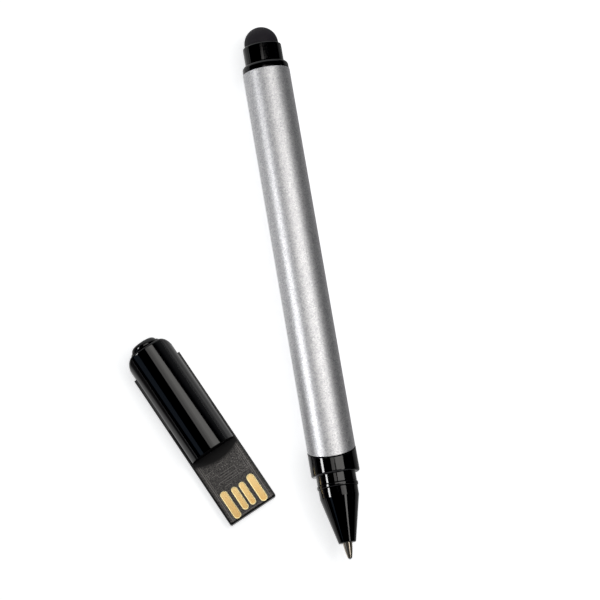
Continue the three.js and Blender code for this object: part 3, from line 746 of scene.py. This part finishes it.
stud = {
    "ringRadius": 3.55, "ringStart": 43.3, "ringEnd": 43.6, "radius": 3.15, "end": 44.7, "round": 1.1,
    "shank": 2.0, "shankStart": 41.9, "edge": 0.06,
}
knob = turnPiece("endStud", (0, 0, body["studHeight"]), [
    (0, stud["shankStart"]), (stud["shank"], stud["shankStart"]), (stud["shank"], stud["ringStart"]),
    (stud["ringRadius"], stud["ringStart"]), (stud["ringRadius"], stud["ringEnd"]),
    *arc(stud["radius"] - stud["round"], stud["end"] - stud["round"], stud["round"], 0, 90, 16),
    (0, stud["end"]),
], 96)
softenEdges(knob, stud["edge"], 3)
layOnTable(knob)
finishPiece(knob, "flash_drive", ["end_stud"], moduleBlack)
print("module body done")


board = {
    "half": 5.6, "start": 0.4, "end": 25.2, "bottom": 1.65, "top": 2.05, "corner": 0.25, "edge": 0.04,
}
card = addBlock("contactBoard", (-board["half"], board["start"], board["bottom"]),
                (board["half"], board["end"], board["top"]))
bpy.ops.object.mode_set(mode="EDIT")
selectUprights(board["start"])
bpy.ops.mesh.bevel(offset=board["corner"] * mm, segments=6, affect="EDGES")
bpy.ops.object.mode_set(mode="OBJECT")
softenEdges(card, board["edge"])
layOnTable(card)
finishPiece(card, "flash_drive", ["memory_board"], mask)

pads = {  # CAD node, place across, near edge, length and width of each
    "powerPad": ("contact_power", -3.5, 0.42, 7.0, 1.8),
    "dataMinusPad": ("contact_data_minus", -1.0, 1.1, 5.85, 1.5),
    "dataPlusPad": ("contact_data_plus", 1.0, 1.1, 5.85, 1.5),
    "groundPad": ("contact_ground", 3.5, 0.42, 7.0, 1.8),
}
padShape = {
    "bottom": 2.07, "top": 2.15,
    "rim": 0.16, "slope": 0.08, "sink": 0.012,  # rubbed a little lower inside its rim
    "edge": 0.045,
}
padTop = padShape["top"]
for name, (node, across, edge, length, width) in pads.items():
    clearSelection()
    bpy.ops.mesh.primitive_cylinder_add(
        vertices=48, radius=width / 2 * mm, depth=(padTop - padShape["bottom"]) * mm,
        location=(across * mm, (edge + width / 2) * mm, (padShape["bottom"] + padTop) / 2 * mm))
    pad = nameIt(name)
    bpy.ops.object.mode_set(mode="EDIT")
    selectWhere(lambda p: p.y > edge + width / 2 + touch, "VERT")
    bpy.ops.transform.translate(value=(0, (length - width) * mm, 0))
    selectWhere(lambda p: abs(p.z - padTop) < touch, "FACE")
    bpy.ops.mesh.inset(thickness=padShape["rim"] * mm, depth=0)
    bpy.ops.mesh.inset(thickness=padShape["slope"] * mm, depth=-padShape["sink"] * mm)
    bpy.ops.object.mode_set(mode="OBJECT")
    softenEdges(pad, padShape["edge"], 3)
    layOnTable(pad)
    finishPiece(pad, "flash_drive", [node], gold)
print("contacts done")


studio = {
    "distance": 600.0, "tilt": 10.5, "turn": 9.63, "lens": 160.2, "aim": (16.85, -1.39),
    "lampHeight": 300.0, "tableGlow": 0.66, "tableInGloss": (
        (0, 0.12), (0.33, 0.12), (0.36, 0.6), (0.45, 0.6), (0.5, 0.48), (0.56, 0.8), (0.62, 0.3),
        (0.8, 0.03), (1, 0.03)),
    "tableSize": 6,  # metres
    "tableDrop": 0.02,  # just under the pieces, so that the two faces don't flicker
    "brightEnds": (0.066, 0.11), "brightAcross": (0.03, 0.06), "endGlow": 0.9,  # metres, and how bright
    "room": 0.07, "walls": 0.7, "wallSpread": (0.45, 0.85), "wallTop": (0.6, 0.85), "backdrop": 1.05,
    "sensor": 36, "near": 0.01, "far": 20, "blackLevel": 0.0045,
}
warmWhite, plainWhite, skyBlue = (1.0, 0.98, 0.95), (1, 1, 1), (0.6, 0.77, 1.0)
lamps = {  # two corners in millimetres on the plane of the lamps, how bright each is, and its colour
    "softboxLeft": ((-55, -18), (3, 137), 1.3, warmWhite),
    "softboxNear": ((3, -18), (20, 137), 1.6, warmWhite),
    "softboxMiddle": ((20, -4), (53, 132), 1.85, warmWhite),
    "softboxRight": ((53, -16), (315, 132), 2.4, warmWhite),
    "softboxFront": ((100, -30), (315, -16), 2.0, warmWhite),
    "softboxCorner": ((188, -210), (280, -30), 3.0, warmWhite),
    "stripLamp": ((-560, -40), (-372, 105), 17, plainWhite),
    "blueWindow": ((-1100, -240), (-330, -70), 0.24, skyBlue),
}


def tableTop():
    # white paper that glows a little; gloss sees it brightest beside the pen and dim elsewhere
    clearSelection()
    bpy.ops.mesh.primitive_plane_add(
        size=studio["tableSize"], location=(0, 0, -studio["tableDrop"] * mm))
    floor = nameIt("table")
    material, tree, place3d = startMaterial("whiteTablePaper")
    fibre = addNode(tree, "ShaderNodeTexNoise", None, {
        "Vector": place3d, "Scale": perSize(0.6), "Detail": 3.0})
    tint = addNode(tree, "ShaderNodeMix", {"data_type": "RGBA"}, {
        "Factor": fibre.outputs["Fac"], 6: hexColour("#eef0f2"), 7: hexColour("#f3f5f7")})
    paper = addNode(tree, "ShaderNodeBsdfPrincipled", None, {
        "Base Color": tint.outputs[2], "Roughness": 0.9, "Specular IOR Level": 0.1,
        "Emission Color": (1, 1, 1, 1), "Emission Strength": studio["tableGlow"]})
    split = addNode(tree, "ShaderNodeSeparateXYZ", None, {"Vector": place3d})
    spread = addNode(tree, "ShaderNodeMapRange", {"clamp": True}, {
        "Value": split.outputs["X"], "From Min": -0.1, "From Max": 0.1})
    fall = addNode(tree, "ShaderNodeValToRGB", None, {"Fac": spread.outputs["Result"]})
    stops = fall.color_ramp.elements
    for at, level in studio["tableInGloss"]:
        stop = stops[0] if at == 0 else stops[-1] if at == 1 else stops.new(at)
        stop.color = (level, level, level, 1)
    beyond = addNode(tree, "ShaderNodeMath", {"operation": "ABSOLUTE"}, {0: split.outputs["Y"]})
    start, full = studio["brightEnds"]  # past both ends of the pen
    ends = addNode(tree, "ShaderNodeMapRange", {"clamp": True}, {
        "Value": beyond.outputs["Value"], "From Min": start, "From Max": full})
    full, none = studio["brightAcross"]
    inLine = addNode(tree, "ShaderNodeMapRange", {"clamp": True}, {
        "Value": split.outputs["X"], "From Min": full, "From Max": none, "To Min": 1.0, "To Max": 0.0})
    ends = addNode(tree, "ShaderNodeMath", {"operation": "MULTIPLY"}, {
        0: ends.outputs["Result"], 1: inLine.outputs["Result"]})
    glow = addNode(tree, "ShaderNodeMix", {"data_type": "RGBA"}, {
        "Factor": ends.outputs["Value"], 6: fall.outputs["Color"], 7: (*[studio["endGlow"]] * 3, 1)})
    dim = addNode(tree, "ShaderNodeEmission", None, {"Color": glow.outputs[2]})
    path = addNode(tree, "ShaderNodeLightPath")
    both = addNode(tree, "ShaderNodeMixShader", None, {
        0: path.outputs["Is Glossy Ray"], 1: paper.outputs["BSDF"], 2: dim.outputs["Emission"]})
    closeMaterial(tree, both.outputs["Shader"])
    floor.data.materials.append(material)


def addLamp(name, low, high, radiance, colour):
    # a flat lamp that looks straight down
    height = studio["lampHeight"]
    data = bpy.data.lights.new(name, "AREA")
    data.shape = "RECTANGLE"
    data.size = (high[0] - low[0]) * mm
    data.size_y = (high[1] - low[1]) * mm
    data.energy = radiance * math.pi * data.size * data.size_y
    data.color = colour
    lamp = bpy.data.objects.new(name, data)
    bpy.context.collection.objects.link(lamp)
    lamp.location = Vector(((low[0] + high[0]) / 2, (low[1] + high[1]) / 2, height)) * mm
    lamp.visible_camera = False
    return lamp


def studioLight():
    hung = {name: addLamp(name, *spot) for name, spot in lamps.items()}
    hung["stripLamp"].visible_diffuse = False  # only for the bright line in gloss
    world = bpy.data.worlds.new("studio")
    bpy.context.scene.world = world
    world.use_nodes = True
    tree = world.node_tree
    tree.nodes.clear()
    path = addNode(tree, "ShaderNodeLightPath")
    # pale walls beyond both ends of the pen, for gloss and metal; the rest of the room is dim
    coords = addNode(tree, "ShaderNodeTexCoord")
    split = addNode(tree, "ShaderNodeSeparateXYZ", None, {"Vector": coords.outputs["Generated"]})
    ends = addNode(tree, "ShaderNodeMath", {"operation": "ABSOLUTE"}, {0: split.outputs["Y"]})
    start, full = studio["wallSpread"]
    facing = addNode(tree, "ShaderNodeMapRange", {"clamp": True}, {
        "Value": ends.outputs["Value"], "From Min": start, "From Max": full,
        "To Min": 0.0, "To Max": studio["walls"]})
    full, none = studio["wallTop"]
    low = addNode(tree, "ShaderNodeMapRange", {"clamp": True}, {
        "Value": split.outputs["Z"], "From Min": full, "From Max": none, "To Min": 1.0, "To Max": 0.0})
    strength = addNode(tree, "ShaderNodeMath", {"operation": "MULTIPLY_ADD"}, {
        0: facing.outputs["Result"], 1: low.outputs["Result"], 2: studio["room"]})
    room = addNode(tree, "ShaderNodeBackground", None, {
        "Color": (0.95, 0.97, 1, 1), "Strength": strength.outputs["Value"]})
    seen = addNode(tree, "ShaderNodeBackground", None, {
        "Color": (1, 1, 1, 1), "Strength": studio["backdrop"]})
    both = addNode(tree, "ShaderNodeMixShader", None, {
        0: path.outputs["Is Camera Ray"], 1: room.outputs["Background"], 2: seen.outputs["Background"]})
    addNode(tree, "ShaderNodeOutputWorld", None, {"Surface": both.outputs["Shader"]})


def addCamera():
    # looks down from beyond the pen's tip, turned as the photograph is framed
    turn, tilt = math.radians(studio["turn"]), math.radians(studio["tilt"])
    up = Vector((math.sin(turn), math.cos(turn), 0))
    right = Vector((math.cos(turn), -math.sin(turn), 0))
    back = -math.sin(tilt) * up + math.cos(tilt) * Vector((0, 0, 1))
    aim = Vector((studio["aim"][0], studio["aim"][1], 0))
    data = bpy.data.cameras.new("camera")
    data.lens = studio["lens"]
    data.sensor_width = studio["sensor"]
    data.clip_start, data.clip_end = studio["near"], studio["far"]
    camera = bpy.data.objects.new("camera", data)
    bpy.context.collection.objects.link(camera)
    turned = Matrix((right, back.cross(right), back)).transposed().to_4x4()
    camera.matrix_world = Matrix.Translation((aim + studio["distance"] * back) * mm) @ turned
    bpy.context.scene.camera = camera


tableTop()
studioLight()
addCamera()
view = bpy.context.scene.view_settings
view.view_transform = "Standard"
view.look = "None"
view.use_curve_mapping = True
view.curve_mapping.black_level = [studio["blackLevel"]] * 3
view.curve_mapping.update()
print("table, light and camera ready")
